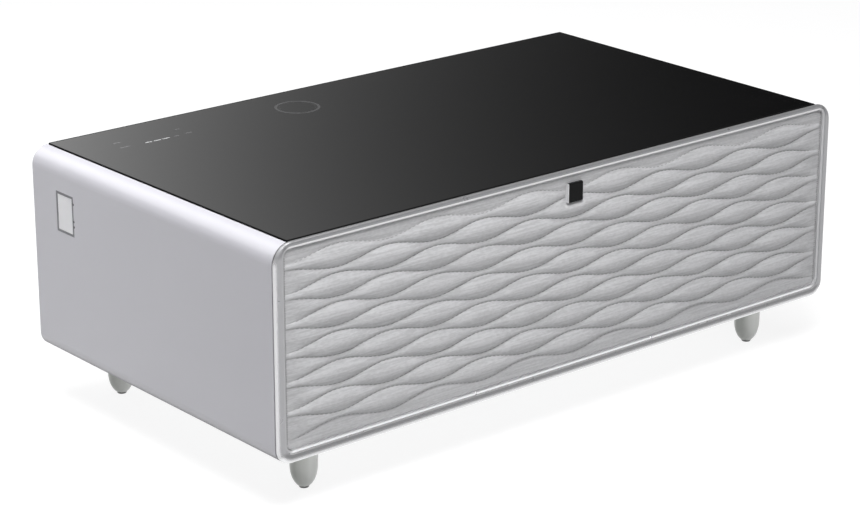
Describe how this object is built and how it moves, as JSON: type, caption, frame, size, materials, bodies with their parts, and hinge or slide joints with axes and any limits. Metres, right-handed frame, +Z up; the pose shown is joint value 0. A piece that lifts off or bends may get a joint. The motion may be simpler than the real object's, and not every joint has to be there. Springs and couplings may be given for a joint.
{
  "type": "refrigerator coffee table",
  "caption": "Low coffee table with a glass top and a wide refrigerated drawer behind a quilted front, on bullet feet.",
  "frame": {"origin": "on the floor, under the middle of the table", "axes": "+X along the length, to the right seen from the drawer's side; -Y is the way the drawer opens; +Z up"},
  "size_m": [1.3, 0.72, 0.475],
  "materials": {
    "painted_shell": "gloss",
    "black_glass": "polished",
    "frame_silver": "satin",
    "bright_bead": "polished",
    "quilted_leather": "satin",
    "black_gloss": "gloss",
    "liner_white": "satin",
    "foam": "matte",
    "galvanised": "satin",
    "deck_board": "matte",
    "aluminium": "satin",
    "gasket_grey": "matte",
    "rubber_black": "matte",
    "foot_metal": "satin",
    "compressor_black": "satin",
    "copper": "satin",
    "black_plastic": "satin",
    "white_plastic": "satin",
    "grey_plastic": "satin",
    "board_green": "satin",
    "lamp_white": "matte"
  },
  "bodies": {
    "cabinet": {"side_panel_right": "painted_shell", "side_panel_left": "painted_shell", "glass_top": "black_glass", "top_deck": "deck_board", "base_pan": "galvanised", "liner": "liner_white", "insulation_foam": "foam", "bulkhead": "galvanised", "evaporator_plate": "aluminium", "rear_panel": "painted_shell", "slide_outer_rails": "galvanised", "lamp_strip": "lamp_white", "temperature_sensor": "white_plastic", "feet": "foot_metal", "foot_pads": "rubber_black", "foot_plates": "galvanised", "compressor": "compressor_black", "compressor_grommets": "rubber_black", "condenser": "aluminium", "fan_frame": "black_plastic", "refrigerant_tubes": "copper", "dryer_filter": "copper", "power_inlet": "black_plastic", "power_supply": "galvanised", "control_board": "board_green", "touch_board": "board_green", "charging_coil": "copper", "socket_frame": "grey_plastic", "flap_pin": "galvanised", "socket_insert": "black_plastic"},
    "drawer": {"front_frame": "frame_silver", "trim_bead": "bright_bead", "door_plate": "galvanised", "quilted_panel": "quilted_leather", "badge_plate": "black_gloss", "inner_door": "liner_white", "gasket": "gasket_grey", "drawer_tub": "liner_white", "tub_dividers": "liner_white", "slide_inner_rails": "galvanised"},
    "slide_middle": {"slide_middle_rails": "galvanised"},
    "cages_outer": {"slide_cages_outer": "grey_plastic"},
    "cages_inner": {"slide_cages_inner": "grey_plastic"},
    "fan": {"fan_rotor": "black_plastic"},
    "flap": {"socket_flap": "white_plastic"}
  },
  "joints": [
    {"name": "drawer_slide", "type": "slide", "parent": "cabinet", "child": "drawer", "axis": [0, -1, 0], "range_m": [0, 0.42]},
    {"name": "slide_middle_travel", "type": "slide", "parent": "cabinet", "child": "slide_middle", "axis": [0, -1, 0], "range_m": [0, 0.21]},
    {"name": "cages_outer_travel", "type": "slide", "parent": "cabinet", "child": "cages_outer", "axis": [0, -1, 0], "range_m": [0, 0.105]},
    {"name": "cages_inner_travel", "type": "slide", "parent": "cabinet", "child": "cages_inner", "axis": [0, -1, 0], "range_m": [0, 0.315]},
    {"name": "fan_spin", "type": "hinge", "parent": "cabinet", "child": "fan", "pos_m": [0.1885, 0.2868, 0.1585], "axis": [1, 0, 0], "continuous": true},
    {"name": "flap_hinge", "type": "hinge", "parent": "cabinet", "child": "flap", "pos_m": [-0.64835, 0.2366, 0.373], "axis": [0, 0, 1], "range_deg": [0, 90]}
  ],
  "couplings": [
    {"joint": "slide_middle_travel", "follows": "drawer_slide", "ratio": 0.5},
    {"joint": "cages_outer_travel", "follows": "drawer_slide", "ratio": 0.25},
    {"joint": "cages_inner_travel", "follows": "drawer_slide", "ratio": 0.75}
  ]
}
